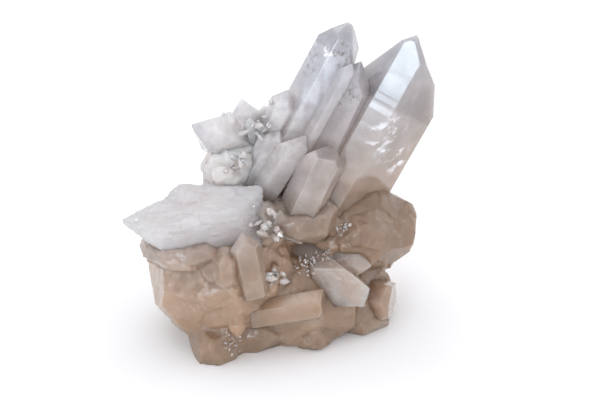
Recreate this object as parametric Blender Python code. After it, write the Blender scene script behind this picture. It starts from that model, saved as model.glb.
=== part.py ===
"""A quartz crystal cluster that stands on the flat sawn underside of its massive quartz base.

Sizes are given in millimetres and turned to metres by MM. X runs to the cluster's right, Y to its back
and Z up from the sawn underside. A crystal is cut out of a block face by face: six faces along it, and
six steeper ones at its end, at the angles that all quartz has. A chunk of base is a block with many
flats cut on it. Crystals that have grown into each other are one solid, and so are the chunks.
"""

import math
import random

import bmesh
import bpy
from mathutils import Matrix, Vector

MM = 0.001
CLUSTER_NAME = "quartz_crystal_cluster"

# Quartz: six faces along each crystal, and end faces that lean this many degrees from its length.
FACES_AROUND = 6
END_FACE_LEAN = 51.8
REFRACTIVE_INDEX = 1.544

# The clearance between a crystal and its seat in the base, in millimetres.
SEAT_GAP = 0.3

FRONT = Vector((0.0, -1.0, 0.0))

# Each crystal: its foot inside the base, its tip, how far its six long faces stand from the line through
# the tip (front, front right, back right, back, back left, front left), how far that ring of faces is
# rolled to the right, and how far above the tip each end face would cross the line. Worn corners are
# flats cut last: a point on each, and the way it faces.
GREAT_POINT = {
    "foot": (1.0, 2.4, 39.5),
    "tip": (39.2, 10.0, 111.2),
    "sides": (2.0, 6.4, 27.5, 25.0, 23.0, 3.3),
    "roll": -14.0,
    "end": (0.35, 0.0, 9.6, 2.0, 0.0, 0.0),
    "worn": (((41.6, 8.0, 104.0), (0.94, -0.1, 0.32)),),
}
SHOULDER_POINT = {
    "foot": (-6.0, 8.0, 44.0),
    "tip": (20.5, 14.0, 100.4),
    "sides": (7.0, 8.0, 8.0, 7.0, 8.0, 8.0),
    "roll": -6.0,
    "end": (3.0, 0.0, 0.0, 2.0, 0.0, 1.0),
}
TALL_POINT = {
    "foot": (-14.0, 8.2, 61.5),
    "tip": (15.0, 14.0, 114.6),
    "sides": (5.0, 7.0, 14.5, 9.5, 7.0, 3.4),
    "roll": 5.0,
    "end": (0.5, 2.6, 4.2, 0.0, 0.0, 0.0),
}
SLIM_POINT = {
    "foot": (-2.0, 3.0, 67.0),
    "tip": (16.6, 5.0, 102.4),
    "sides": (2.2, 2.4, 3.0, 4.0, 3.0, 2.2),
    "roll": 8.0,
    "end": (0.0, 0.4, 0.0, 0.4, 0.0, 0.4),
}
HAZY_POINT = {
    "foot": (-5.5, -6.0, 41.6),
    "tip": (9.6, -3.0, 74.9),
    "sides": (4.6, 6.0, 8.0, 9.0, 8.0, 5.6),
    "roll": 4.0,
    "end": (2.5, 2.0, 2.5, 4.0, 1.5, 2.5),
    "worn": (((8.6, -3.0, 73.0), (0.25, -0.25, 0.93)),),
}
BROAD_BLADE = {
    "foot": (-19.0, -2.0, 44.7),
    "tip": (1.0, 1.0, 77.1),
    "sides": (3.0, 3.2, 5.0, 7.0, 7.5, 5.5),
    "roll": 12.0,
    "end": (1.0, 0.0, 2.0, 0.0, 1.0, 0.5),
}
THIN_BLADE = {
    "foot": (-24.0, 1.0, 48.7),
    "tip": (-8.4, 4.0, 78.1),
    "sides": (3.2, 3.4, 4.0, 5.0, 5.5, 4.4),
    "roll": 10.0,
    "end": (1.0, 0.0, 1.5, 0.0, 1.0, 0.0),
}
LOW_POINT = {
    "foot": (-18.0, 9.0, 62.0),
    "tip": (-5.2, 10.0, 91.2),
    "sides": (4.4, 4.8, 5.5, 6.0, 4.6, 3.8),
    "roll": -8.0,
    "end": (0.6, 0.0, 0.8, 0.0, 0.6, 0.0),
}
UPRIGHT_POINTS = (
    GREAT_POINT,
    SHOULDER_POINT,
    TALL_POINT,
    SLIM_POINT,
    HAZY_POINT,
    BROAD_BLADE,
    THIN_BLADE,
    LOW_POINT,
)

LONG_LEFT_POINTS = (
    {
        "foot": (-19.0, -8.2, 48.5),
        "tip": (-63.0, -18.0, 53.2),
        "sides": (9.0, 10.5, 12.0, 10.0, 11.5, 10.5),
        "roll": 0.0,
        "end": (0.0, 1.0, 2.0, 0.0, 2.0, 0.0),
        "worn": (((-59.0, -16.0, 56.9), (-0.36, -0.10, 0.93)), ((-61.8, -18.0, 55.0), (-0.85, -0.2, 0.45))),
    },
    {
        "foot": (-22.0, -5.0, 54.4),
        "tip": (-49.0, -12.0, 57.4),
        "sides": (5.0, 5.5, 6.0, 5.5, 5.5, 5.0),
        "roll": 12.0,
        "end": (0.0, 1.0, 2.0, 0.0, 2.0, 0.0),
    },
)
WINDOW_POINT = {
    "foot": (-17.2, -21.6, 26.0),
    "tip": (-21.2, -23.0, 51.2),
    "sides": (3.2, 4.4, 5.0, 4.6, 5.0, 4.6),
    "roll": 10.0,
    "end": (3.0, 0.0, 0.0, 0.5, 0.0, 0.0),
}
BAR_POINT = {
    "foot": (-19.0, -17.0, 15.4),
    "tip": (7.8, -17.0, 20.4),
    "sides": (4.4, 5.0, 5.0, 4.6, 5.0, 5.0),
    "roll": 0.0,
    "end": (8.0, 3.0, 5.0, 8.0, 6.0, 4.0),
    "worn": (((6.8, -17.0, 20.0), (0.97, -0.15, 0.1)),),
}
UPPER_LEFT_POINTS = (
    {
        "foot": (-16.0, 12.0, 66.0),
        "tip": (-40.2, 8.0, 78.9),
        "sides": (6.0, 6.5, 6.5, 6.0, 6.5, 6.5),
        "roll": 0.0,
        "end": (0.0, 0.5, 0.0, 0.5, 0.0, 0.5),
    },
    {
        "foot": (-19.0, 12.0, 66.0),
        "tip": (-22.6, 14.0, 86.6),
        "sides": (4.2, 6.0, 6.5, 5.0, 4.5, 4.0),
        "roll": 20.0,
        "end": (0.0, 0.6, 0.0, 0.6, 0.0, 0.6),
    },
    {
        "foot": (-23.0, 11.0, 66.0),
        "tip": (-29.0, 11.5, 82.4),
        "sides": (3.6, 3.8, 4.0, 4.0, 3.6, 3.6),
        "roll": -15.0,
        "end": (0.0, 0.4, 0.0, 0.4, 0.0, 0.4),
    },
)
FROSTED_POINTS = (
    {
        "foot": (-2.0, 8.4, 27.4),
        "tip": (12.8, -11.4, 23.2),
        "sides": (6.8, 7.0, 6.8, 6.8, 7.0, 6.8),
        "roll": 0.0,
        "end": (0.0, 11.0, 18.0, 20.0, 18.0, 12.0),
    },
    {
        "foot": (12.0, 1.5, 27.6),
        "tip": (24.0, -4.0, 28.4),
        "sides": (4.0, 4.4, 4.6, 4.4, 4.6, 4.4),
        "roll": 20.0,
        "end": (2.0, 1.0, 2.0, 1.0, 2.0, 1.0),
    },
)
CORNER_POINT = {
    "foot": (18.0, 10.0, 12.0),
    "tip": (36.5, -4.0, 11.5),
    "sides": (6.4, 6.8, 6.8, 6.8, 6.8, 6.8),
    "roll": 15.0,
    "end": (4.0, 3.0, 4.0, 3.0, 4.0, 3.0),
    "worn": (((32.5, -2.0, 13.0), (0.95, -0.3, 0.0)),),
}

FROSTED_GROUPS = ("long_left_points", "frosted_points")

# Crystals that stopped growing where they met an earlier group.
GROWN_AGAINST = {
    "upright_points": "long_left_points",
    "upper_left_points": "upright_points",
}

# Each chunk of the base: its middle, its half sizes, and the seed that places its flats.
BASE_CHUNKS = (
    ((-30.8, 1.0, 25.0), (27.2, 27.0, 27.0), 3),
    ((-30.0, -8.0, 9.0), (14.0, 16.0, 20.0), 5),
    ((-32.5, -15.0, 3.0), (9.0, 13.5, 12.0), 14),
    ((-19.0, -9.0, 6.0), (12.0, 11.5, 10.0), 6),
    ((-6.0, 0.0, 12.0), (28.0, 17.0, 21.0), 8),
    ((19.5, 10.0, 9.0), (13.5, 17.0, 16.0), 13),
    ((20.0, 6.0, 3.0), (13.0, 12.5, 9.0), 15),
    ((21.0, 15.0, 35.0), (22.5, 18.0, 16.5), 21),
    ((0.0, 20.0, 36.0), (27.0, 18.0, 29.0), 34),
    ((-22.0, 12.0, 54.0), (15.5, 15.0, 22.0), 55),
    ((-9.0, 27.0, 22.0), (37.0, 20.0, 27.0), 89),
    ((-4.0, 0.0, 46.5), (17.0, 13.5, 9.0), 144),
    ((3.0, -9.0, 3.0), (8.0, 8.0, 8.0), 233),
    ((-49.0, -4.0, 37.0), (11.0, 12.0, 8.0), 4),
    ((-42.0, -17.0, 41.0), (13.5, 9.5, 6.5), 7),
    ((-12.5, -8.5, 46.5), (5.8, 7.5, 9.5), 16),
    ((-27.0, 0.0, 63.0), (6.5, 6.0, 3.6), 9),
    ((-21.5, 1.0, 68.0), (3.0, 4.0, 3.0), 10),
    ((-19.0, -18.5, 26.5), (3.6, 4.5, 4.2), 11),
    ((-13.0, -16.0, 27.0), (4.2, 5.0, 4.0), 12),
)

# How a chunk's flats are spread over a ball of radius 1: how many, how deep each is, and how far its
# height and its turn may stray from an even spread.
FLATS_PER_CHUNK = 26
FLAT_DEPTH = (0.86, 1.0)
HEIGHT_STRAY = 0.06
TURN_STRAY = 0.35
HIGHEST_FLAT = 0.98

# Each small stub that is one with the base, made as the crystals are.
BASE_STUBS = (
    {
        "foot": (-26.5, -18.0, 16.0),
        "tip": (-27.0, -22.5, 45.0),
        "sides": (4.6, 4.2, 4.6, 5.0, 4.6, 4.2),
        "roll": 0.0,
        "end": (2.0, 1.0, 2.0, 1.0, 2.0, 1.0),
    },
    {
        "foot": (-24.0, -18.0, 27.0),
        "tip": (-23.5, -26.0, 14.5),
        "sides": (2.6, 2.8, 2.8, 2.8, 2.8, 2.8),
        "roll": 10.0,
        "end": (3.0, 3.0, 3.0, 3.0, 3.0, 3.0),
    },
    {
        "foot": (-10.5, -11.0, 24.0),
        "tip": (-10.5, -15.0, 35.0),
        "sides": (2.0, 2.2, 2.4, 2.2, 2.4, 2.2),
        "roll": 20.0,
        "end": (0.0, 1.0, 0.0, 1.0, 0.0, 1.0),
    },
    {
        "foot": (-11.0, -8.0, 42.0),
        "tip": (-8.6, -12.5, 54.5),
        "sides": (2.8, 3.0, 3.2, 3.0, 3.2, 3.0),
        "roll": 20.0,
        "end": (0.5, 1.0, 0.5, 1.0, 0.5, 1.0),
    },
    {
        "foot": (10.0, 8.0, 38.0),
        "tip": (13.0, -2.0, 44.0),
        "sides": (3.4, 3.6, 4.0, 3.6, 4.0, 3.6),
        "roll": 20.0,
        "end": (0.5, 1.0, 0.5, 1.0, 0.5, 1.0),
    },
)

# The back of the base carries a row of short points, spread along an oval seen from above. Each foot and
# tip is a share of the way out from the oval's middle, and a point's rise and narrow side are shares of
# its half width.
BACK_MIDDLE = (-9.0, 24.0)
BACK_RADII = (37.0, 21.0)
BACK_FOOT_REACH = 0.55
BACK_TIP_REACH = 1.04
BACK_RISE = 0.9
BACK_NARROW_SIDE = 0.86

# Each back point: how far round the oval it stands in degrees, its height and its half width.
BACK_POINTS = (
    (18.0, 26.0, 6.0),
    (38.0, 13.0, 5.0),
    (52.0, 36.0, 7.0),
    (74.0, 20.0, 5.5),
    (88.0, 41.0, 6.0),
    (104.0, 28.0, 7.0),
    (122.0, 12.0, 5.0),
    (136.0, 38.0, 5.5),
    (152.0, 22.0, 6.5),
    (172.0, 33.0, 5.0),
)


def clear_scene():
    for old in list(bpy.data.objects):
        bpy.data.objects.remove(old)


def new_collection(name, hidden=False):
    made = bpy.data.collections.new(name)
    bpy.context.scene.collection.children.link(made)
    made.hide_render = hidden
    return made


def cut_flat(bm, point, outward):
    """Slices away what lies beyond a plane and closes the cut with one flat face.

    A plane that misses the shape leaves no rim, so there is nothing to close.
    """
    cut = bmesh.ops.bisect_plane(
        bm,
        geom=bm.verts[:] + bm.edges[:] + bm.faces[:],
        dist=1e-7,
        plane_co=point,
        plane_no=outward,
        clear_outer=True,
    )
    rim = [item for item in cut["geom_cut"] if isinstance(item, bmesh.types.BMEdge)]
    if len(rim) > 2:
        bmesh.ops.edgeloop_fill(bm, edges=rim)


def growth_axes(foot, tip, roll):
    """The crystal's own directions: right, front and along, rolled to the right about its length."""
    along = (tip - foot).normalized()
    front = (FRONT - along * FRONT.dot(along)).normalized()
    front = Matrix.Rotation(math.radians(roll), 3, along) @ front
    right = along.cross(front)
    return right, front, along


def crystal(spec, grow=0.0):
    """A bmesh of one crystal, cut out of a block. Its seat is the same crystal, grown a little."""
    foot = Vector(spec["foot"]) * MM
    tip = Vector(spec["tip"]) * MM
    grow = grow * MM
    right, front, along = growth_axes(foot, tip, spec["roll"])
    lean = math.radians(END_FACE_LEAN)
    roomy = 3.0 * ((tip - foot).length + max(spec["sides"]) * MM)
    bm = bmesh.new()
    bmesh.ops.create_cube(bm, size=roomy)
    bmesh.ops.translate(bm, verts=bm.verts, vec=tip)
    for face in range(FACES_AROUND):
        turn = 2.0 * math.pi * face / FACES_AROUND
        outward = math.sin(turn) * right + math.cos(turn) * front
        cut_flat(bm, tip + outward * (spec["sides"][face] * MM + grow), outward)
        end = math.sin(lean) * outward + math.cos(lean) * along
        cut_flat(bm, tip + along * (spec["end"][face] * MM) + end * grow, end)
    cut_flat(bm, foot - along * grow, -along)
    for point, facing in spec.get("worn", ()):
        outward = Vector(facing).normalized()
        cut_flat(bm, Vector(point) * MM + outward * grow, outward)
    return bm


def chunk(middle, half_sizes, seed):
    """A bmesh of one chunk of massive quartz: a block with flats cut evenly round it, none quite alike."""
    dice = random.Random(seed)
    bm = bmesh.new()
    bmesh.ops.create_cube(bm, size=2.0)
    golden_turn = math.pi * (3.0 - math.sqrt(5.0))
    for flat in range(FLATS_PER_CHUNK):
        height = 1.0 - 2.0 * (flat + 0.5) / FLATS_PER_CHUNK
        height += dice.uniform(-HEIGHT_STRAY, HEIGHT_STRAY)
        height = max(-HIGHEST_FLAT, min(HIGHEST_FLAT, height))
        turn = golden_turn * flat + dice.uniform(-TURN_STRAY, TURN_STRAY)
        ring = math.sqrt(1.0 - height * height)
        outward = Vector((ring * math.cos(turn), ring * math.sin(turn), height))
        cut_flat(bm, outward * dice.uniform(*FLAT_DEPTH), outward)
    bmesh.ops.scale(bm, verts=bm.verts, vec=Vector(half_sizes) * MM)
    bmesh.ops.translate(bm, verts=bm.verts, vec=Vector(middle) * MM)
    return bm


def block(middle, sizes):
    bm = bmesh.new()
    bmesh.ops.create_cube(bm, size=1.0)
    bmesh.ops.scale(bm, verts=bm.verts, vec=Vector(sizes) * MM)
    bmesh.ops.translate(bm, verts=bm.verts, vec=Vector(middle) * MM)
    return bm


def back_stub(turn, height, half_width):
    """One short point on the back of the base, leaning out and up from its curve."""
    turn = math.radians(turn)
    middle = Vector(BACK_MIDDLE)
    reach = Vector((math.cos(turn) * BACK_RADII[0], math.sin(turn) * BACK_RADII[1]))
    wide = half_width
    narrow = BACK_NARROW_SIDE * half_width
    blunt = 0.5 * half_width
    return {
        "foot": (*(middle + reach * BACK_FOOT_REACH), height),
        "tip": (*(middle + reach * BACK_TIP_REACH), height + BACK_RISE * half_width),
        "sides": (narrow, wide, narrow, wide, wide, narrow),
        "roll": 3.0 * height,
        "end": (0.0, blunt, 0.0, 0.6 * blunt, 0.0, blunt),
    }


def quartz_material(name, colour, roughness, clearness):
    made = bpy.data.materials.new(name)
    made.use_nodes = True
    shader = made.node_tree.nodes["Principled BSDF"]
    shader.inputs["Base Color"].default_value = (*colour, 1.0)
    shader.inputs["Roughness"].default_value = roughness
    shader.inputs["Metallic"].default_value = 0.0
    shader.inputs["IOR"].default_value = REFRACTIVE_INDEX
    shader.inputs["Transmission Weight"].default_value = clearness
    made.diffuse_color = (*colour, 1.0)
    return made


def combine(body, operation, helper):
    """Joins a helper to a body, or cuts it out of the body, by a modifier that stays live."""
    step = body.modifiers.new(helper.name, "BOOLEAN")
    step.operation = operation
    step.solver = "EXACT"
    step.object = helper


class Cluster:
    """The collections that the solids and their helpers go in, and the point that carries them all."""

    def __init__(self):
        self.solids = new_collection(CLUSTER_NAME)
        self.helpers = new_collection("helpers", hidden=True)
        self.middle = bpy.data.objects.new("middle", None)
        self.solids.objects.link(self.middle)

    def place(self, name, bm, material=None):
        """An object from a bmesh. With no material it is a helper, which a join or a cut uses up."""
        bmesh.ops.recalc_face_normals(bm, faces=bm.faces)
        mesh = bpy.data.meshes.new(name)
        bm.to_mesh(mesh)
        bm.free()
        made = bpy.data.objects.new(name, mesh)
        made.parent = self.middle
        if material is None:
            self.helpers.objects.link(made)
            made.hide_render = True
            made.display_type = "WIRE"
        else:
            self.solids.objects.link(made)
            mesh.materials.append(material)
        return made

    def grow_together(self, name, specs, material):
        """Crystals that have grown into each other, joined in one solid."""
        body = self.place(name, crystal(specs[0]), material)
        for number, spec in enumerate(specs[1:], start=2):
            helper = self.place(f"{name}_{number}", crystal(spec))
            combine(body, "UNION", helper)
        return body

    def seat(self, body, name, specs):
        """Cuts the seats of some crystals, each a small gap wider than the crystal in it."""
        for number, spec in enumerate(specs, start=1):
            helper = self.place(f"{name}_seat_{number}", crystal(spec, grow=SEAT_GAP))
            combine(body, "DIFFERENCE", helper)


def base(cluster, seated, material):
    """The massive quartz: chunks and stubs joined and sawn flat underneath, with a seat for each crystal."""
    body = cluster.place("base", chunk(*BASE_CHUNKS[0]), material)
    for number, values in enumerate(BASE_CHUNKS[1:], start=2):
        combine(body, "UNION", cluster.place(f"chunk_{number}", chunk(*values)))
    stubs = BASE_STUBS + tuple(back_stub(*values) for values in BACK_POINTS)
    for number, spec in enumerate(stubs, start=1):
        combine(body, "UNION", cluster.place(f"stub_{number}", crystal(spec)))
    saw = cluster.place("saw", block(middle=(0.0, 0.0, -50.0), sizes=(400.0, 400.0, 100.0)))
    combine(body, "DIFFERENCE", saw)
    for name, specs in seated.items():
        cluster.seat(body, name, specs)
    return body


def stand_on_its_middle(cluster):
    """Moves everything so that the middle of the underside's box is the origin."""
    bpy.context.view_layer.update()
    graph = bpy.context.evaluated_depsgraph_get()
    corners = []
    for body in cluster.solids.objects:
        if body.type == "MESH":
            shown = body.evaluated_get(graph)
            corners += [body.matrix_world @ Vector(corner) for corner in shown.bound_box]
    low = [min(corner[axis] for corner in corners) for axis in range(3)]
    high = [max(corner[axis] for corner in corners) for axis in range(3)]
    cluster.middle.location = (-(low[0] + high[0]) / 2.0, -(low[1] + high[1]) / 2.0, -low[2])
    bpy.context.view_layer.update()
    print("moved by", [round(value / MM, 3) for value in cluster.middle.location], "mm")


def main():
    clear_scene()
    cluster = Cluster()
    clear = quartz_material("clear_quartz", (0.62, 0.57, 0.57), roughness=0.12, clearness=0.6)
    frosted = quartz_material("frosted_quartz", (0.66, 0.61, 0.58), roughness=0.5, clearness=0.3)
    massive = quartz_material("massive_quartz", (0.46, 0.36, 0.28), roughness=0.45, clearness=0.2)
    groups = {
        "long_left_points": LONG_LEFT_POINTS,
        "upright_points": UPRIGHT_POINTS,
        "upper_left_points": UPPER_LEFT_POINTS,
        "window_point": (WINDOW_POINT,),
        "bar_point": (BAR_POINT,),
        "frosted_points": FROSTED_POINTS,
        "corner_point": (CORNER_POINT,),
    }
    for name, specs in groups.items():
        material = frosted if name in FROSTED_GROUPS else clear
        body = cluster.grow_together(name, specs, material)
        if name in GROWN_AGAINST:
            earlier = GROWN_AGAINST[name]
            cluster.seat(body, f"{name}_on_{earlier}", groups[earlier])
    base(cluster, groups, massive)
    stand_on_its_middle(cluster)


main()
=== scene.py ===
# %% [markdown]
# # A quartz crystal cluster
# This lesson dresses a natural cluster of quartz crystals. Its solids are already made: they are the
# frame, in metres, with Z up and the origin in the middle of the sawn underside. Here every piece gets
# the shape and finish that the eye sees: worn edges, growth lines, haze, and a wet gloss on the rock.
# %% Load the frame and keep its box
import math
import random

import bmesh
import bpy
from mathutils import Matrix, Vector, noise
from mathutils.bvhtree import BVHTree


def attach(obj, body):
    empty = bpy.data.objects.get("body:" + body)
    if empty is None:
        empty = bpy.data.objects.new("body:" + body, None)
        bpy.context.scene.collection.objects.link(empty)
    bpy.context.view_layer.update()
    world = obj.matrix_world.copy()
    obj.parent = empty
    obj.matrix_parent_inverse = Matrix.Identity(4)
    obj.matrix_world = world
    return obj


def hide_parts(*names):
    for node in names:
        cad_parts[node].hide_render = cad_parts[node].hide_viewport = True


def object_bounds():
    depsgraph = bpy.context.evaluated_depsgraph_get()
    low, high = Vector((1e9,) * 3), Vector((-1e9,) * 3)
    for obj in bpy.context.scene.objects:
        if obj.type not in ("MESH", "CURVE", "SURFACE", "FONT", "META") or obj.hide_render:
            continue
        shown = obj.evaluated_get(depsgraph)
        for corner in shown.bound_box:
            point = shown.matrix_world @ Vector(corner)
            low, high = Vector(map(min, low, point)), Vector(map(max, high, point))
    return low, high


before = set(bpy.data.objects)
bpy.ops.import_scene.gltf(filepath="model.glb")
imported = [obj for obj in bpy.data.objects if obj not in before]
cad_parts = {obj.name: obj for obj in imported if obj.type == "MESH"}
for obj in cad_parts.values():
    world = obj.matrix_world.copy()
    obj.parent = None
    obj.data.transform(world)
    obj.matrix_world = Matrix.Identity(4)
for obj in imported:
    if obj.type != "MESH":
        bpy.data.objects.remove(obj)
MM = 0.001
CAD_LOW, CAD_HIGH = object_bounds()
print("the frame's box in mm:", [round(v / MM, 1) for v in (*CAD_LOW, *CAD_HIGH)])

# %% [markdown]
# ## The crystals' own sizes
# A quartz crystal is a six-sided column that ends in six leaning faces. Nature rarely makes the six
# sides equal, so each crystal here is written down as its foot, its tip, and how far each side stands
# from the line through the tip. The sizes are the frame's own, in millimetres, so that each crystal
# fits its seat. MIDDLE carries them to the frame's origin.
# %% Write down the upright crystals
MIDDLE = Vector((7.496, -9.394, 0.0))
END_FACE_LEAN = 51.8
UPRIGHT = {
    "great": {
        "foot": (1.0, 2.4, 39.5), "tip": (39.2, 10.0, 111.2),
        "sides": (2.0, 6.4, 27.5, 25.0, 23.0, 3.3), "roll": -14.0,
        "end": (0.35, 0.0, 9.6, 2.0, 0.0, 0.0),
        "worn": (((41.6, 8.0, 104.0), (0.94, -0.1, 0.32)),),
    },
    "shoulder": {
        "foot": (-6.0, 8.0, 44.0), "tip": (20.5, 14.0, 100.4),
        "sides": (7.0, 8.0, 8.0, 7.0, 8.0, 8.0), "roll": -6.0,
        "end": (3.0, 0.0, 0.0, 2.0, 0.0, 1.0),
    },
    "tall": {
        "foot": (-14.0, 8.2, 61.5), "tip": (15.0, 14.0, 114.6),
        "sides": (5.0, 7.0, 14.5, 9.5, 7.0, 3.4), "roll": 5.0,
        "end": (0.5, 2.6, 4.2, 0.0, 0.0, 0.0),
    },
    "slim": {
        "foot": (-2.0, 3.0, 67.0), "tip": (16.6, 5.0, 102.4),
        "sides": (2.2, 2.4, 3.0, 4.0, 3.0, 2.2), "roll": 8.0,
        "end": (0.0, 0.4, 0.0, 0.4, 0.0, 0.4),
    },
    "hazy": {
        "foot": (-5.5, -6.0, 41.6), "tip": (9.6, -3.0, 74.9),
        "sides": (4.6, 6.0, 8.0, 9.0, 8.0, 5.6), "roll": 4.0,
        "end": (2.5, 2.0, 2.5, 4.0, 1.5, 2.5),
        "worn": (((8.6, -3.0, 73.0), (0.25, -0.25, 0.93)),),
    },
    "broad_blade": {
        "foot": (-19.0, -2.0, 44.7), "tip": (1.0, 1.0, 77.1),
        "sides": (3.0, 3.2, 5.0, 7.0, 7.5, 5.5), "roll": 12.0,
        "end": (1.0, 0.0, 2.0, 0.0, 1.0, 0.5),
    },
    "thin_blade": {
        "foot": (-24.0, 1.0, 48.7), "tip": (-8.4, 4.0, 78.1),
        "sides": (3.2, 3.4, 4.0, 5.0, 5.5, 4.4), "roll": 10.0,
        "end": (1.0, 0.0, 1.5, 0.0, 1.0, 0.0),
    },
    "low": {
        "foot": (-18.0, 9.0, 62.0), "tip": (-5.2, 10.0, 91.2),
        "sides": (4.4, 4.8, 5.5, 6.0, 4.6, 3.8), "roll": -8.0,
        "end": (0.6, 0.0, 0.8, 0.0, 0.6, 0.0),
    },
}
print(len(UPRIGHT), "upright crystals")

# %% Write down the crystals that lie and the small ones
LONG_LEFT = {
    "long": {
        "foot": (-15.6, -7.4, 48.1), "tip": (-63.0, -18.0, 53.2),
        "sides": (9.0, 10.5, 12.0, 10.0, 11.5, 10.5), "roll": 0.0,
        "end": (0.0, 1.0, 2.0, 0.0, 2.0, 0.0),
        "worn": (
            ((-53.0, -13.0, 57.0), (-0.13, -0.35, 0.925)),
            ((-53.0, -13.0, 57.0), (-0.52, 0.50, 0.69)),
            ((-61.8, -18.0, 55.0), (-0.85, -0.2, 0.45)),
            ((-20.5, -17.0, 50.0), (0.62, -0.72, 0.3)),
        ),
    },
    "rider": {
        "foot": (-22.0, -5.0, 54.4), "tip": (-49.0, -12.0, 57.4),
        "sides": (5.0, 5.5, 6.0, 5.5, 5.5, 5.0), "roll": 12.0,
        "end": (0.0, 1.0, 2.0, 0.0, 2.0, 0.0),
    },
}
UPPER_LEFT = {
    "outer": {
        "foot": (-16.0, 12.0, 66.0), "tip": (-40.2, 8.0, 78.9),
        "sides": (6.0, 6.5, 6.5, 6.0, 6.5, 6.5), "roll": 0.0,
        "end": (0.0, 0.5, 0.0, 0.5, 0.0, 0.5),
    },
    "inner": {
        "foot": (-19.0, 12.0, 66.0), "tip": (-22.6, 14.0, 86.6),
        "sides": (4.2, 6.0, 6.5, 5.0, 4.5, 4.0), "roll": 20.0,
        "end": (0.0, 0.6, 0.0, 0.6, 0.0, 0.6),
    },
    "small": {
        "foot": (-23.0, 11.0, 66.0), "tip": (-29.0, 11.5, 82.4),
        "sides": (3.6, 3.8, 4.0, 4.0, 3.6, 3.6), "roll": -15.0,
        "end": (0.0, 0.4, 0.0, 0.4, 0.0, 0.4),
    },
}
SPRIGS = {
    # foot, tip, half width
    "left_sprig": ((-22.0, 12.0, 70.0), (-27.3, 10.6, 82.8), 2.6),
    "back_sprig": ((-12.0, 15.0, 68.0), (-14.6, 15.4, 83.6), 3.4),
    "front_sprig": ((-17.0, 8.0, 70.0), (-19.3, 6.4, 82.0), 2.2),
    "low_sprig": ((-15.0, 8.0, 68.0), (-12.8, 6.0, 79.4), 2.6),
}
WINDOW = {
    "window": {
        "foot": (-17.2, -21.6, 26.0), "tip": (-21.2, -23.0, 51.2),
        "sides": (3.2, 4.4, 5.0, 4.6, 5.0, 4.6), "roll": 10.0,
        "end": (3.0, 0.0, 0.0, 0.5, 0.0, 0.0),
    },
}
BAR = {
    "bar": {
        "foot": (-19.0, -17.0, 15.4), "tip": (7.8, -17.0, 20.4),
        "sides": (4.4, 5.0, 5.0, 4.6, 5.0, 5.0), "roll": 0.0,
        "end": (8.0, 3.0, 5.0, 8.0, 6.0, 4.0),
        "worn": (((6.8, -17.0, 20.0), (0.97, -0.15, 0.1)),),
    },
}
FROSTED = {
    "broad": {
        "foot": (-2.0, 8.4, 27.4), "tip": (12.8, -11.4, 23.2),
        "sides": (6.8, 7.0, 6.8, 6.8, 7.0, 6.8), "roll": 0.0,
        "end": (0.0, 11.0, 18.0, 20.0, 18.0, 12.0),
    },
    "narrow": {
        "foot": (12.0, 1.5, 27.6), "tip": (24.0, -4.0, 28.4),
        "sides": (4.0, 4.4, 4.6, 4.4, 4.6, 4.4), "roll": 20.0,
        "end": (2.0, 1.0, 2.0, 1.0, 2.0, 1.0),
    },
}
CORNER = {
    "corner": {
        "foot": (18.0, 10.0, 12.0), "tip": (36.5, -4.0, 11.5),
        "sides": (6.4, 6.8, 6.8, 6.8, 6.8, 6.8), "roll": 15.0,
        "end": (4.0, 3.0, 4.0, 3.0, 4.0, 3.0),
        "worn": (((32.5, -2.0, 13.0), (0.95, -0.3, 0.0)),),
    },
}
print("lying and small crystals:", sum(map(len, (LONG_LEFT, UPPER_LEFT, WINDOW, BAR, FROSTED, CORNER))))

# %% [markdown]
# ## Cutting a crystal
# A column with leaning ends could be extruded from a hexagon, but then all its sides would be equal.
# Slicing a block is closer to how uneven crystals look: each face is one flat cut, and where three
# cuts meet there is a sharp corner, wherever that falls.
# %% Cut one crystal from a block
def cut_flat(bm, point, outward):
    """Slices away what lies beyond a plane and closes the cut."""
    cut = bmesh.ops.bisect_plane(
        bm, geom=bm.verts[:] + bm.edges[:] + bm.faces[:], dist=1e-7,
        plane_co=point, plane_no=outward, clear_outer=True,
    )
    rim = [item for item in cut["geom_cut"] if isinstance(item, bmesh.types.BMEdge)]
    if len(rim) > 2:
        bmesh.ops.edgeloop_fill(bm, edges=rim)


def growth_axes(spec):
    """A crystal's foot and tip in the frame, and its directions: right, front and along."""
    foot = (Vector(spec["foot"]) + MIDDLE) * MM
    tip = (Vector(spec["tip"]) + MIDDLE) * MM
    along = (tip - foot).normalized()
    front = Vector((0.0, -1.0, 0.0))
    front = (front - along * front.dot(along)).normalized()
    front = Matrix.Rotation(math.radians(spec["roll"]), 3, along) @ front
    return foot, tip, along.cross(front), front, along


def cut_crystal(spec, grow=0.0):
    foot, tip, right, front, along = growth_axes(spec)
    lean = math.radians(END_FACE_LEAN)
    bm = bmesh.new()
    bmesh.ops.create_cube(bm, size=3.0 * ((tip - foot).length + max(spec["sides"]) * MM))
    bmesh.ops.translate(bm, verts=bm.verts, vec=tip)
    for side, reach in enumerate(spec["sides"]):
        turn = math.radians(60.0 * side)
        outward = math.sin(turn) * right + math.cos(turn) * front
        cut_flat(bm, tip + outward * (reach + grow) * MM, outward)
        end = math.sin(lean) * outward + math.cos(lean) * along
        cut_flat(bm, tip + along * spec["end"][side] * MM + end * grow * MM, end)
    cut_flat(bm, foot - along * grow * MM, -along)
    for point, facing in spec.get("worn", ()):
        outward = Vector(facing).normalized()
        cut_flat(bm, (Vector(point) + MIDDLE + outward * grow) * MM, outward)
    return bm


trial = cut_crystal(UPRIGHT["great"])
print("the great crystal is cut to", len(trial.faces), "faces")
trial.free()

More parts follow.
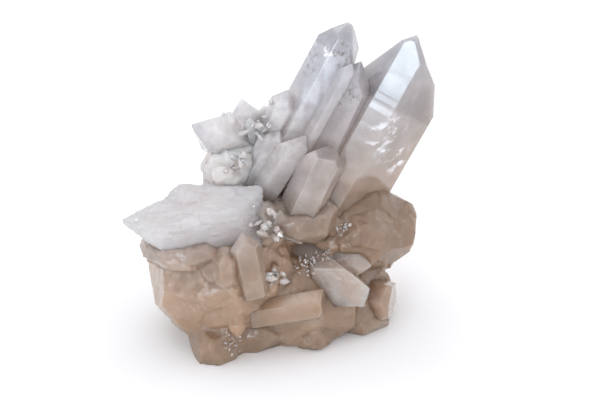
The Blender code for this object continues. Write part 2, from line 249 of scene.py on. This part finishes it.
# %% [markdown]
# ## Worn edges and growth lines
# No edge of a real crystal is a perfect corner: a narrow worn strip runs along it and catches the
# light. A bevel makes it. Across the sides run fine steps, where growth paused and went on. Slicing
# the column into rings and drawing each ring in by a few hundredths of a millimetre makes real steps,
# which show in the gloss as lines, and a bump texture alone would not show on the outline.
# %% Wear the edges and ring the column
def wear_edges(bm, width):
    """Merges corners closer than the wear itself, then bevels every edge."""
    bmesh.ops.remove_doubles(bm, verts=bm.verts, dist=1.6 * width * MM)
    bmesh.ops.dissolve_degenerate(bm, edges=bm.edges, dist=1e-6)
    bmesh.ops.bevel(
        bm, geom=bm.edges[:], offset=width * MM, offset_type="OFFSET", segments=2,
        profile=0.5, affect="EDGES", material=-1, clamp_overlap=True,
    )


def ring_column(bm, spec, spacing, depth, seed):
    """Slices the column across and draws each ring of its sides in by its own small depth."""
    foot, tip, right, front, along = growth_axes(spec)
    dice = random.Random(seed)
    length = (tip - foot).length / MM
    shoulder = length - 1.1 * max(spec["sides"][side] for side in (0, 1, 5))
    place = 0.0
    while place < length:
        place += spacing * dice.uniform(0.4, 1.6)
        bmesh.ops.bisect_plane(
            bm, geom=bm.verts[:] + bm.edges[:] + bm.faces[:], dist=1e-7,
            plane_co=foot + along * place * MM, plane_no=along,
        )
    for vert in bm.verts:
        height = (vert.co - foot).dot(along) / MM
        out = vert.co - foot - along * height * MM
        fade = max(0.0, min(1.0, (shoulder - height) / 4.0))
        step = noise.noise(Vector((height * 1.9, seed, 0.0))) + 0.6 * noise.noise(Vector((height * 0.4, seed, 5.0)))
        vert.co -= out.normalized() * (0.5 + 0.5 * step) * depth * fade * MM


# %% Grow a group of crystals into one piece
def mesh_object(name, bm):
    """A scratch object from a bmesh."""
    bmesh.ops.recalc_face_normals(bm, faces=bm.faces)
    mesh = bpy.data.meshes.new(name)
    bm.to_mesh(mesh)
    bm.free()
    made = bpy.data.objects.new(name, mesh)
    bpy.context.scene.collection.objects.link(made)
    return made


def settle(made, helpers):
    """Makes what the modifiers show the object's own mesh, and clears the helpers away."""
    graph = bpy.context.evaluated_depsgraph_get()
    shown = bpy.data.meshes.new_from_object(made.evaluated_get(graph))
    made.modifiers.clear()
    made.data = shown
    for helper in helpers:
        bpy.data.objects.remove(helper)


def boolean(made, helper, operation):
    step = made.modifiers.new(operation, "BOOLEAN")
    step.operation = operation
    step.solver = "MANIFOLD"
    step.object = helper


def clean_up(made, closest):
    """Merges the slivers that a join leaves where faces nearly meet."""
    bm = bmesh.new()
    bm.from_mesh(made.data)
    bmesh.ops.remove_doubles(bm, verts=bm.verts, dist=closest * MM)
    bmesh.ops.dissolve_degenerate(bm, edges=bm.edges, dist=closest * MM)
    bm.to_mesh(made.data)
    bm.free()


def grow_group(name, group, wear, spacing, depth, against=None):
    """Crystals worn and ringed, joined to one skin, and stopped where they met an earlier group."""
    shapes = []
    for number, (crystal, spec) in enumerate(group.items()):
        bm = cut_crystal(spec)
        wear_edges(bm, wear)
        ring_column(bm, spec, spacing, depth, seed=number + 1)
        shapes.append(mesh_object(f"{name}_{crystal}", bm))
    body = shapes[0]
    helpers = shapes[1:]
    for helper in helpers:
        boolean(body, helper, "UNION")
    for crystal, spec in (against or {}).items():
        helpers.append(mesh_object(f"stop_{crystal}", cut_crystal(spec, grow=0.3)))
        boolean(body, helpers[-1], "DIFFERENCE")
    settle(body, helpers)
    clean_up(body, 0.03)
    body.name = name
    return body


def finish_piece(made, node):
    """The piece rides on the only body, and stands for its node."""
    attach(made, "root")
    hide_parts(node)
    print(made.name, "has", len(made.data.polygons), "faces")


uprights = grow_group("uprights", UPRIGHT, wear=0.22, spacing=1.6, depth=0.08, against=LONG_LEFT)
finish_piece(uprights, "upright_points")

for number, (sprig, (foot, tip, half)) in enumerate(SPRIGS.items()):
    UPPER_LEFT[sprig] = {
        "foot": foot, "tip": tip, "sides": [half * share for share in (1.0, 0.8, 1.1, 1.0, 0.9, 1.2)],
        "roll": 17.0 * number, "end": (0.3, 0.0, 0.4, 0.0, 0.5, 0.0),
    }
upper_left = grow_group("upper_left", UPPER_LEFT, wear=0.16, spacing=0.9, depth=0.06, against=UPRIGHT)
finish_piece(upper_left, "upper_left_points")
window = grow_group("window", WINDOW, wear=0.3, spacing=0.9, depth=0.06)
finish_piece(window, "window_point")
bar = grow_group("bar", BAR, wear=0.3, spacing=0.9, depth=0.06)
finish_piece(bar, "bar_point")
corner = grow_group("corner", CORNER, wear=0.6, spacing=0.9, depth=0.1)
finish_piece(corner, "corner_point")
frosted = grow_group("frosted", FROSTED, wear=0.3, spacing=0.9, depth=0.1)
finish_piece(frosted, "frosted_points")
long_left = grow_group("long_left", LONG_LEFT, wear=0.5, spacing=0.8, depth=0.14)
finish_piece(long_left, "long_left_points")

# %% [markdown]
# ## The massive quartz of the base
# The base broke rather than grew: it has broad faces with soft edges, hollows, and smaller breaks on
# every face. Its solid has only the broad faces. Bevelling hundreds of them would tangle, so a copy of
# the solid is rebuilt as an even net of small squares and smoothed a little. Then space is split into
# cells, and each cell tilts its share of the surface its own way, as broken quartz does.
# %% Rebuild a shape as an even net
def copy_of_node(node, name):
    """A merged copy of a CAD node's mesh, as a scratch object."""
    bm = bmesh.new()
    bm.from_mesh(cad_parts[node].data)
    bmesh.ops.remove_doubles(bm, verts=bm.verts, dist=1e-7)
    return mesh_object(name, bm)


def even_net(made, cell):
    step = made.modifiers.new("net", "REMESH")
    step.mode = "VOXEL"
    step.voxel_size = cell * MM
    step.use_smooth_shade = True
    settle(made, [])
    print(made.name, "has a net of", len(made.data.polygons), "squares")


def soften(made, rounds, strength):
    bm = bmesh.new()
    bm.from_mesh(made.data)
    for _ in range(rounds):
        bmesh.ops.smooth_vert(
            bm, verts=bm.verts, factor=strength, use_axis_x=True, use_axis_y=True, use_axis_z=True,
        )
    bm.to_mesh(made.data)
    bm.free()


base = copy_of_node("base", "massive_base")
even_net(base, 0.68)
soften(base, rounds=1, strength=0.5)


# %% Push a net's points along their normals
def keep_in_box(point):
    """Keeps a point inside the solids' own box."""
    return Vector(max(low, min(high, value)) for low, value, high in zip(CAD_LOW, point, CAD_HIGH))


def push_points(made, depth_at):
    """Moves each point along its normal by depth_at(point in mm), in mm."""
    points = [vert.co.copy() for vert in made.data.vertices]
    normals = [vert.normal.copy() for vert in made.data.vertices]
    moved = []
    for point, normal in zip(points, normals):
        moved.extend(keep_in_box(point + normal * depth_at(point / MM) * MM))
    made.data.vertices.foreach_set("co", moved)
    made.data.update()


noise.seed_set(5)


def break_of(place, cell, tilt):
    """The height of a broken face: in each cell of space, a plane through its middle with its own tilt."""
    middle = noise.voronoi(place / cell)[1][0]
    lean = noise.noise_vector(middle * 7.31 + Vector((3.7, 1.9, 8.2)))
    return tilt * cell * lean.dot(place / cell - middle)


# %% [markdown]
# ## Etched and frosted crystals
# The long crystal on the left was etched after it grew: ridges run its length, and near its tip they
# tear its top edge. The frosted crystals grew in many small starts and have low steps all over. Both
# get an even net too, fine enough to carry ridges of half a millimetre.
# %% Etch the long crystal and frost the broad one
def etched(place):
    """Ridges that run the crystal's length, deepest on top and towards the tip, and small breaks."""
    along = place.x * 0.97 + place.y * 0.22
    across = Vector((along * 0.10, place.y * 0.62, place.z * 0.62))
    ridges = noise.ridged_multi_fractal(across, 0.8, 2.2, 5, 1.0, 2.0) - 1.3
    towards_tip = max(0.0, min(1.0, (-14.0 - place.x) / 22.0))
    on_top = max(0.0, min(1.0, (place.z - 46.0) / 6.0))
    rough = 0.3 + 0.7 * on_top * (0.45 + 0.55 * towards_tip)
    return rough * (0.62 * ridges + break_of(place, 4.2, 0.20)) + 0.5 * break_of(place, 9.0, 0.16)


def frosted_growth(place):
    """Low steps all over, as on a crystal whose faces grew in many small starts."""
    return break_of(place, 5.0, 0.10) + break_of(place, 2.2, 0.18) - 0.1


even_net(long_left, 0.42)
push_points(long_left, etched)
even_net(frosted, 0.42)
push_points(frosted, frosted_growth)


# %% [markdown]
# ## Breaks and seats of the base
# Every crystal is rooted in the base, so no gap may show round it. A search tree over the crystals
# tells each point of the base how far away they are. Near them the breaks are shallow, and the
# nearest points are drawn just inside the crystal, so that the two meet in one clean line.
# %% Break the base's faces and close it round the crystals
def search_tree(pieces):
    """A search tree over the pieces, which answers where their nearest skin is."""
    joined = bmesh.new()
    for piece in pieces:
        joined.from_mesh(piece.data)
    bmesh.ops.triangulate(joined, faces=joined.faces[:], quad_method="SHORT_EDGE", ngon_method="BEAUTY")
    joined.faces.sort(key=lambda face: face.calc_center_median().dot(Vector((1.0, 0.31, 0.17))))
    tree = BVHTree.FromBMesh(joined)
    joined.free()
    return tree


crystals = search_tree((uprights, upper_left, window, bar, corner, frosted, long_left))


def broken_base(place):
    """Breaks in two sizes, sharper on the upper lump, and shallower where a crystal stands."""
    if place.z < 1.2:
        return 0.0
    on_the_lump = max(0.0, min(1.0, (place.z - 56.0) / 8.0))
    broken = break_of(place, 14.0, 0.18) + (1.0 + 1.6 * on_the_lump) * break_of(place, 5.4, 0.09)
    away = crystals.find_nearest(place * MM, 4.0 * MM)[3]
    near = 0.0 if away is None else max(0.0, 1.0 - away / MM / 3.2)
    return broken * (1.0 - 0.7 * near) + 0.2 * near


def close_seats(made, reach):
    """Draws the points nearest to a crystal just inside it, fading out over the reach in mm."""
    moved = []
    for vert in made.data.vertices:
        point = vert.co.copy()
        skin, outward, _, away = crystals.find_nearest(point, reach * MM)
        if skin is not None and (point - skin).dot(outward) > 0.0 and point.z > 1.2 * MM:
            pull = min(1.0, 2.0 * (1.0 - away / (reach * MM)))
            point += (skin - point).normalized() * (away + 0.25 * MM) * pull
        moved.extend(point)
    made.data.vertices.foreach_set("co", moved)
    made.data.update()


push_points(base, broken_base)
close_seats(base, 1.5)
finish_piece(base, "base")

# %% [markdown]
# ## Druse
# In hollows and along broken rims the rock is sown with tiny crystals, which collectors call druse.
# Each is one six-sided column whose top face is drawn in to a tip: twenty faces at most, because there
# are many. They are sown with seeded dice round a few places, on the nearest skin and along its normal.
# %% Sow tiny crystals
DRUSE = {
    # middle, reach, how many, shortest, longest
    "beside_the_hollow": ((-3.4, -28.0, 31.0), 4.0, 16, 1.6, 3.6),
    "under_the_neck": ((-5.0, -23.0, 50.0), 4.5, 12, 2.2, 4.4),
    "rim_of_the_plate": ((8.0, -16.0, 30.5), 4.0, 40, 0.7, 1.5),
    "top_of_the_plate": ((16.0, -11.5, 32.0), 4.0, 30, 0.6, 1.4),
    "low_front": ((-18.5, -32.5, 8.5), 3.6, 24, 0.6, 1.3),
    "end_of_the_long": ((-10.5, -18.0, 50.0), 5.0, 22, 1.2, 3.0),
    "upper_hollow": ((-8.0, -3.0, 78.0), 5.0, 16, 1.8, 3.6),
    "crevice": ((21.6, -10.5, 42.4), 3.0, 10, 0.8, 1.8),
    "lump": ((-16.0, -10.0, 69.0), 7.0, 16, 1.4, 3.0),
    "back_hollow": ((-6.0, 8.0, 58.0), 12.0, 34, 1.4, 4.2),
    "back_low": ((16.0, 14.0, 24.0), 11.0, 30, 1.2, 3.4),
}


def small_point(bm, root, aim, length, width, turn, flat):
    """One column with a point, rooted a little under the skin."""
    made = bmesh.ops.create_cone(
        bm, cap_ends=True, segments=6, radius1=width, radius2=width, depth=length,
        matrix=Matrix.Translation((0.0, 0.0, 0.1 * length)),
    )["verts"]
    top = max({face for vert in made for face in vert.link_faces}, key=lambda face: face.calc_center_median().z)
    tip = bmesh.ops.extrude_discrete_faces(bm, faces=[top])["faces"][0].verts[:]
    bmesh.ops.translate(bm, verts=tip, vec=(0.0, 0.0, 1.1 * width))
    bmesh.ops.scale(bm, verts=tip, vec=(0.12, 0.2, 1.0))
    turned = aim.to_track_quat("Z", "Y").to_matrix().to_4x4() @ Matrix.Rotation(turn, 4, "Z")
    flattened = Matrix.Diagonal((1.0, flat, 1.0, 1.0))
    bmesh.ops.transform(bm, matrix=Matrix.Translation(root) @ turned @ flattened, verts=made + tip)


def outward_at(skin, root):
    """The mean normal round a root, rounded because its faces come in no fixed order."""
    normals = [found[1] for found in skin.find_nearest_range(root, 0.5 * MM)]
    return Vector([round(part, 4) for part in sum(normals, Vector()).normalized()])


def sow_druse():
    skin = search_tree((uprights, upper_left, window, bar, corner, frosted, long_left, base))
    dice = random.Random(44)
    bm = bmesh.new()
    for middle, reach, count, shortest, longest in DRUSE.values():
        for _ in range(count):
            stray = Vector([dice.gauss(0.0, 0.5) for _ in range(3)]) * reach
            root = skin.find_nearest((Vector(middle) + stray) * MM)[0]
            lean = Vector([dice.uniform(-0.5, 0.5) for _ in range(3)])
            aim = (outward_at(skin, root) + lean).normalized()
            length = dice.uniform(shortest, longest) * MM
            width = length * dice.uniform(0.3, 0.48)
            turn, flat = dice.uniform(0.0, 1.0), dice.uniform(0.55, 1.0)
            end = root + 1.3 * length * aim
            if root.z > 0.5 * longest * MM and keep_in_box(end) == end:
                small_point(bm, root, aim, length, width, turn, flat)
    return mesh_object("druse", bm)


druse = sow_druse()
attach(druse, "root")
print("druse has", len(druse.data.polygons), "faces")

# %% [markdown]
# ## Finishes
# Quartz is clear by nature; what makes it look milky or tan is what it holds. The shader's own sockets
# give the glassy part: transmission, an index of 1.544 and a clean coat. Noise in object coordinates,
# which stay put on the piece, mixes clear and cloudy places, and a slow change with height turns the
# warm tan of the base into the cool grey of the tips.
# %% Small helpers to build a finish
def new_finish(name):
    made = bpy.data.materials.new(name)
    made.use_nodes = True
    return made, made.node_tree, made.node_tree.nodes["Principled BSDF"]


def add(tree, kind, **values):
    """A node with its settings and its sockets set by name."""
    made = tree.nodes.new(kind)
    for key, value in values.items():
        if key in made.inputs:
            made.inputs[key].default_value = value
        else:
            setattr(made, key, value)
    return made


def cloud(tree, scale, detail=3.0, stretch=(1.0, 1.0, 1.0)):
    """Noise on the piece's own coordinates, from 0 to 1. Scale counts the clouds in a metre."""
    where = add(tree, "ShaderNodeTexCoord")
    sized = add(tree, "ShaderNodeMapping")
    sized.inputs["Scale"].default_value = stretch
    texture = add(tree, "ShaderNodeTexNoise", Scale=scale, Detail=detail, Roughness=0.6)
    tree.links.new(where.outputs["Object"], sized.inputs["Vector"])
    tree.links.new(sized.outputs["Vector"], texture.inputs["Vector"])
    return texture.outputs["Fac"]


def ramp(tree, source, stops):
    """Turns a value into colours: stops are (position, colour) pairs."""
    made = add(tree, "ShaderNodeValToRGB")
    made.color_ramp.elements.remove(made.color_ramp.elements[1])
    for number, (place, colour) in enumerate(stops):
        stop = made.color_ramp.elements[0] if number == 0 else made.color_ramp.elements.new(place)
        stop.position = place
        stop.color = (*colour, 1.0)
    tree.links.new(source, made.inputs["Fac"])
    return made.outputs["Color"]


def spread(tree, source, low, high, to_low, to_high):
    """Maps a range of values onto another, and stops at its ends."""
    made = add(tree, "ShaderNodeMapRange")
    for socket, value in zip(("From Min", "From Max", "To Min", "To Max"), (low, high, to_low, to_high)):
        made.inputs[socket].default_value = value
    tree.links.new(source, made.inputs["Value"])
    return made.outputs["Result"]


def mix_colours(tree, share, first, second, way="MIX"):
    made = add(tree, "ShaderNodeMix", data_type="RGBA", blend_type=way)
    for socket, value in ((0, share), (6, first), (7, second)):
        if isinstance(value, bpy.types.NodeSocket):
            tree.links.new(value, made.inputs[socket])
        else:
            made.inputs[socket].default_value = value if socket == 0 else (*value, 1.0)
    return made.outputs[2]


def bump(tree, shader, source, depth):
    made = add(tree, "ShaderNodeBump", Strength=1.0)
    made.inputs["Distance"].default_value = depth * MM
    tree.links.new(source, made.inputs["Height"])
    tree.links.new(made.outputs["Normal"], shader.inputs["Normal"])


def set_glassy(shader, clearness, roughness, coat, milk):
    """The even sockets, the same all over the piece."""
    shader.inputs["IOR"].default_value = 1.544
    shader.inputs["Transmission Weight"].default_value = clearness
    shader.inputs["Roughness"].default_value = roughness
    shader.inputs["Coat Weight"].default_value = coat
    shader.inputs["Coat Roughness"].default_value = 0.06
    shader.inputs["Coat IOR"].default_value = 1.544
    shader.inputs["Subsurface Weight"].default_value = 1.0
    shader.inputs["Subsurface Radius"].default_value = (1.0, 0.92, 0.86)
    shader.inputs["Subsurface Scale"].default_value = milk * MM


# %% One run of colour through the whole rock
def measure_along(tree, direction):
    """A value in mm that grows along a direction, read from the piece's own coordinates."""
    where = add(tree, "ShaderNodeTexCoord")
    along = add(tree, "ShaderNodeVectorMath", operation="DOT_PRODUCT")
    along.inputs[1].default_value = [part / MM for part in direction]
    tree.links.new(where.outputs["Object"], along.inputs[0])
    return along.outputs["Value"]


def rock_colour_and_side_light(tree):
    """Tan low down, rose grey in the middle, cool and pale at the tips, and painted light and shade over it:
    lighter to the upper left, darker to the right.
    """
    growth = spread(tree, measure_along(tree, (-0.3, 0.0, 1.0)), 0.0, 100.0, 0.0, 1.0)
    colour = ramp(tree, growth, (
        (0.20, (0.59, 0.38, 0.24)), (0.36, (0.56, 0.38, 0.26)), (0.49, (0.53, 0.40, 0.32)),
        (0.60, (0.50, 0.425, 0.385)), (0.75, (0.52, 0.47, 0.465)), (0.97, (0.54, 0.545, 0.59)),
    ))
    # Painted light and shade: the colour is lifted to the upper left, on the window's side, and darkened to the
    # right.
    leftward = measure_along(tree, (-1.0, 0.0, 0.4))
    light = ramp(tree, spread(tree, leftward, -25.0, 55.0, 0.0, 1.0), (
        (0.0, (0.78, 0.78, 0.78)), (0.38, (0.98, 0.98, 0.98)), (0.8, (1.0, 1.0, 1.0)), (1.0, (1.12, 1.12, 1.12)),
    ))
    return mix_colours(tree, 1.0, colour, light, way="MULTIPLY")


def tint_inside(tree, colour, density):
    """What the light loses on its way through the quartz."""
    inside = add(tree, "ShaderNodeVolumeAbsorption", Density=density)
    inside.inputs["Color"].default_value = (*colour, 1.0)
    tree.links.new(inside.outputs["Volume"], tree.nodes["Material Output"].inputs["Volume"])


# %% Marks inside the crystals, and painted light and shade on them
def near(tree, middle, reach):
    """1 at a place in the rock, in mm, and 0 from its reach on."""
    where = add(tree, "ShaderNodeTexCoord")
    away = add(tree, "ShaderNodeVectorMath", operation="DISTANCE")
    away.inputs[1].default_value = [part * MM for part in middle]
    tree.links.new(where.outputs["Object"], away.inputs[0])
    return spread(tree, away.outputs["Value"], 0.4 * reach * MM, reach * MM, 1.0, 0.0)


def times(tree, first, second):
    made = add(tree, "ShaderNodeMath", operation="MULTIPLY")
    for socket, value in zip(made.inputs, (first, second)):
        if isinstance(value, bpy.types.NodeSocket):
            tree.links.new(value, socket)
        else:
            socket.default_value = value
    return made.outputs["Value"]


def wisps(tree, scale, width, stretch):
    """Thin winding lines, where a cloud passes its middle value."""
    off = add(tree, "ShaderNodeMath", operation="SUBTRACT")
    off.inputs[1].default_value = 0.5
    size = add(tree, "ShaderNodeMath", operation="ABSOLUTE")
    tree.links.new(cloud(tree, scale, 4.0, stretch), off.inputs[0])
    tree.links.new(off.outputs["Value"], size.inputs[0])
    return spread(tree, size.outputs["Value"], 0.0, width, 1.0, 0.0)


# %% The clear crystals' finish
CRAZED = (-10.0, -3.0, 78.0)
# Near-white flakes, each a middle and reach in mm: healed cracks in the quartz, with the glints they catch painted
# on.
CRACKS_AND_PAINTED_GLINTS = (((37.0, -3.0, 74.0), 12.0), ((42.0, 6.0, 62.0), 9.0), ((14.0, 2.0, 104.0), 7.0))
# Painted shade, each a middle and reach in mm: dark spots on the clear tips for the darker surroundings seen
# through the glass.
PAINTED_DARK_REFRACTIONS = (((20.0, -1.0, 105.0), 6.0), ((22.5, -3.0, 90.0), 6.0), ((9.0, 3.0, 101.0), 6.0))
# Pale bluish patches, each a middle and reach in mm: veils in the quartz, with a painted sheen of the window light
# on the faces.
VEILS_AND_PAINTED_SHEEN = (((15.5, -2.0, 96.0), 10.0), ((35.0, -4.0, 71.0), 6.0), ((8.0, -2.0, 88.0), 8.0))


def clear_finish():
    made, tree, shader = new_finish("clear_crystal")
    set_glassy(shader, clearness=0.5, roughness=0.2, coat=0.8, milk=18.0)
    clouds = cloud(tree, 55.0, 4.0)
    colour = mix_colours(tree, spread(tree, clouds, 0.45, 0.75, 0.0, 0.35), rock_colour_and_side_light(tree), (0.80, 0.76, 0.77))
    glassy = spread(tree, clouds, 0.35, 0.7, 0.58, 0.36)
    shattered = times(tree, near(tree, CRAZED, 28.0), spread(tree, cloud(tree, 170.0), 0.35, 0.6, 0.35, 1.0))
    colour = mix_colours(tree, times(tree, shattered, 0.7), colour, (0.74, 0.705, 0.69))
    glassy = times(tree, glassy, spread(tree, shattered, 0.0, 1.0, 1.0, 0.5))
    # Veils in the quartz, with a painted bluish sheen of the window light over them.
    for middle, reach in VEILS_AND_PAINTED_SHEEN:
        patches = spread(tree, cloud(tree, 120.0, 4.0, (1.0, 1.0, 0.5)), 0.46, 0.6, 0.0, 0.6)
        colour = mix_colours(tree, times(tree, near(tree, middle, reach), patches), colour, (0.86, 0.90, 0.98))
    # Healed cracks, whitened and made less clear, with their glints painted into the colour.
    for middle, reach in CRACKS_AND_PAINTED_GLINTS:
        flakes_and_glints = spread(tree, cloud(tree, 210.0, 5.0, (0.7, 1.0, 1.3)), 0.53, 0.64, 0.0, 0.9)
        crack_and_glint = times(tree, near(tree, middle, reach), flakes_and_glints)
        colour = mix_colours(tree, crack_and_glint, colour, (0.96, 0.96, 1.0))
        glassy = times(tree, glassy, spread(tree, crack_and_glint, 0.0, 1.0, 1.0, 0.3))
    # Painted shade: dark spots for the darker surroundings seen through the clear tips.
    for middle, reach in PAINTED_DARK_REFRACTIONS:
        painted_dark_spot = times(tree, near(tree, middle, reach), spread(tree, cloud(tree, 420.0, 3.0), 0.54, 0.62, 0.0, 0.8))
        colour = mix_colours(tree, painted_dark_spot, colour, (0.22, 0.19, 0.17))
    tree.links.new(colour, shader.inputs["Base Color"])
    tree.links.new(glassy, shader.inputs["Transmission Weight"])
    tree.links.new(spread(tree, cloud(tree, 160.0), 0.4, 0.65, 0.12, 0.24), shader.inputs["Roughness"])
    tint_inside(tree, (0.80, 0.70, 0.66), 5.0)
    return made


# %% [markdown]
# ## Frosted and massive quartz
# Where quartz breaks it leaves shallow bowls with sharp ridges between them, like broken glass. The
# distance to the nearest of many scattered points has just that shape, so it makes the bump for the
# broken base. Frosted faces get a fine grain instead, drawn out along the crystal.
# %% The frosted and the massive finish
def bowls(tree, scale, stray):
    """Shallow bowls with sharp ridges between them, their outlines made uneven by stray, in mm."""
    where = add(tree, "ShaderNodeTexCoord")
    uneven = add(tree, "ShaderNodeTexNoise", Scale=200.0)
    shifted = add(tree, "ShaderNodeVectorMath", operation="MULTIPLY_ADD")
    shifted.inputs[1].default_value = (stray * MM, stray * MM, stray * MM)
    cells = add(tree, "ShaderNodeTexVoronoi", Scale=scale)
    tree.links.new(where.outputs["Object"], uneven.inputs["Vector"])
    tree.links.new(uneven.outputs["Color"], shifted.inputs[0])
    tree.links.new(where.outputs["Object"], shifted.inputs[2])
    tree.links.new(shifted.outputs["Vector"], cells.inputs["Vector"])
    return cells.outputs["Distance"]


def frosted_finish():
    made, tree, shader = new_finish("frosted_crystal")
    set_glassy(shader, clearness=0.4, roughness=0.3, coat=0.4, milk=14.0)
    clouds = cloud(tree, 90.0, 5.0)
    frost_share = spread(tree, measure_along(tree, (-0.3, 0.0, 1.0)), 30.0, 60.0, 0.35, 0.8)
    frosted_over = mix_colours(tree, frost_share, rock_colour_and_side_light(tree), (0.86, 0.82, 0.82))
    colour = mix_colours(tree, spread(tree, clouds, 0.5, 0.75, 0.0, 0.45), frosted_over, (0.90, 0.87, 0.87))
    threads = times(tree, wisps(tree, 110.0, 0.03, (0.18, 1.6, 1.6)), frost_share)
    colour = mix_colours(tree, times(tree, threads, 0.6), colour, (0.97, 0.96, 0.97))
    shattered = near(tree, CRAZED, 22.0)
    colour = mix_colours(tree, shattered, colour, (0.97, 0.96, 0.95))
    tree.links.new(colour, shader.inputs["Base Color"])
    tree.links.new(spread(tree, shattered, 0.0, 1.0, 0.4, 0.15), shader.inputs["Transmission Weight"])
    tree.links.new(spread(tree, clouds, 0.35, 0.65, 0.42, 0.29), shader.inputs["Roughness"])
    bump(tree, shader, cloud(tree, 620.0, 4.0, (0.25, 1.0, 1.0)), 0.22)
    tint_inside(tree, (0.80, 0.70, 0.66), 6.0)
    return made


def druse_finish():
    """Tiny crystals are thinner than the milk of the large ones is deep, so they get a milk of their own."""
    made, tree, shader = new_finish("druse_crystal")
    set_glassy(shader, clearness=0.35, roughness=0.2, coat=0.8, milk=1.6)
    sparkle = spread(tree, cloud(tree, 420.0), 0.4, 0.6, 0.3, 0.9)
    tree.links.new(mix_colours(tree, sparkle, rock_colour_and_side_light(tree), (0.86, 0.82, 0.80)), shader.inputs["Base Color"])
    tree.links.new(spread(tree, cloud(tree, 600.0), 0.4, 0.6, 0.12, 0.24), shader.inputs["Roughness"])
    tint_inside(tree, (0.80, 0.70, 0.66), 6.0)
    return made


def massive_finish():
    made, tree, shader = new_finish("broken_quartz")
    set_glassy(shader, clearness=0.5, roughness=0.35, coat=0.45, milk=8.0)
    clouds = cloud(tree, 38.0, 5.0)
    pale_share = spread(tree, measure_along(tree, (-0.3, 0.0, 1.0)), 55.0, 75.0, 0.0, 0.95)
    paler = mix_colours(tree, pale_share, rock_colour_and_side_light(tree), (0.82, 0.78, 0.745))
    darker = mix_colours(tree, spread(tree, clouds, 0.3, 0.5, 0.35, 0.0), paler, (0.42, 0.29, 0.20))
    colour = mix_colours(tree, spread(tree, clouds, 0.55, 0.75, 0.0, 0.4), darker, (0.72, 0.58, 0.49))
    grains = spread(tree, cloud(tree, 260.0, 5.0), 0.58, 0.68, 0.0, 0.35)
    colour = mix_colours(tree, grains, colour, (0.84, 0.74, 0.66))
    tree.links.new(colour, shader.inputs["Base Color"])
    glassy = times(tree, spread(tree, clouds, 0.35, 0.7, 0.62, 0.4), spread(tree, pale_share, 0.0, 1.0, 1.0, 0.3))
    tree.links.new(glassy, shader.inputs["Transmission Weight"])
    tree.links.new(spread(tree, cloud(tree, 140.0), 0.4, 0.65, 0.32, 0.46), shader.inputs["Roughness"])
    grain = add(tree, "ShaderNodeMath", operation="MULTIPLY_ADD")
    grain.inputs[1].default_value = 0.12
    tree.links.new(cloud(tree, 700.0, 4.0), grain.inputs[0])
    tree.links.new(bowls(tree, 240.0, 3.0), grain.inputs[2])
    bump(tree, shader, grain.outputs["Value"], 0.8)
    tint_inside(tree, (0.80, 0.66, 0.54), 5.0)
    return made


def dress(made, finish):
    made.data.materials.clear()
    made.data.materials.append(finish)


clear = clear_finish()
frost = frosted_finish()
massive = massive_finish()
tiny = druse_finish()
for piece in (uprights, upper_left, window, bar, corner):
    dress(piece, clear)
for piece in (frosted, long_left):
    dress(piece, frost)
dress(base, massive)
dress(druse, tiny)
print("finishes:", [finish.name for finish in (clear, frost, massive, tiny)])

# %% [markdown]
# ## The table top, the light and the camera
# A pale floor that runs out of sight makes its own backdrop. The light is what shows quartz at its
# best: a wide soft window at the front left that the great crystal's front face mirrors, a soft
# panel overhead, and a pale room all round.
# %% Floor
def pale_floor():
    bm = bmesh.new()
    bmesh.ops.create_circle(bm, cap_ends=True, segments=64, radius=6.0)
    made = mesh_object("floor", bm)
    finish, tree, shader = new_finish("pale_floor")
    shader.inputs["Base Color"].default_value = (0.93, 0.93, 0.93, 1.0)
    shader.inputs["Roughness"].default_value = 0.8
    shader.inputs["Specular IOR Level"].default_value = 0.1
    dress(made, finish)
    return made


floor = pale_floor()
print("the floor is", round(floor.dimensions.x, 1), "m across")


# %% Light
def soft_panel(name, place, aim, width, height, power, colour):
    lamp = bpy.data.lights.new(name, "AREA")
    lamp.shape = "RECTANGLE"
    lamp.size = width
    lamp.size_y = height
    lamp.energy = power
    lamp.color = colour
    made = bpy.data.objects.new(name, lamp)
    bpy.context.scene.collection.objects.link(made)
    made.location = place
    made.rotation_euler = (Vector(aim) - Vector(place)).to_track_quat("-Z", "Y").to_euler()
    return made


soft_panel("window_light", (-0.45, -1.25, 0.40), (0.02, 0.0, 0.08), 0.44, 0.50, 5.6, (0.74, 0.88, 1.0))
overhead = soft_panel("overhead_light", (-0.2, 0.25, 1.2), (0.0, 0.0, 0.05), 1.2, 1.2, 3.2, (0.97, 0.98, 1.0))
from_right = soft_panel("right_light", (1.1, 0.35, 0.5), (0.0, 0.0, 0.06), 0.6, 0.6, 1.5, (1.0, 0.97, 0.95))
for panel in (overhead, from_right):
    panel.visible_transmission = False

room = bpy.data.worlds.new("pale_room")
bpy.context.scene.world = room
room.use_nodes = True
room.node_tree.nodes["Background"].inputs["Color"].default_value = (0.97, 0.97, 1.0, 1.0)
room.node_tree.nodes["Background"].inputs["Strength"].default_value = 1.0
bpy.context.scene.view_settings.view_transform = "Standard"
print("three soft panels and a pale room")

# %% Camera
LOOKING_DOWN = 24.0
DISTANCE = 0.43
AIM = Vector((7.496, -9.394, 51.0)) * MM
WIDTH_SHOWN = 608 * 0.00036
lens = bpy.data.cameras.new("camera")
lens.sensor_width = 36.0
lens.lens = 36.0 * DISTANCE / WIDTH_SHOWN
lens.clip_start = 0.01
camera = bpy.data.objects.new("camera", lens)
bpy.context.scene.collection.objects.link(camera)
down = math.radians(LOOKING_DOWN)
camera.location = AIM - DISTANCE * Vector((0.0, math.cos(down), -math.sin(down)))
camera.rotation_euler = (math.pi / 2.0 - down, 0.0, 0.0)
bpy.context.scene.camera = camera
print("camera at", [round(v, 3) for v in camera.location], "with a lens of", round(lens.lens, 1), "mm")
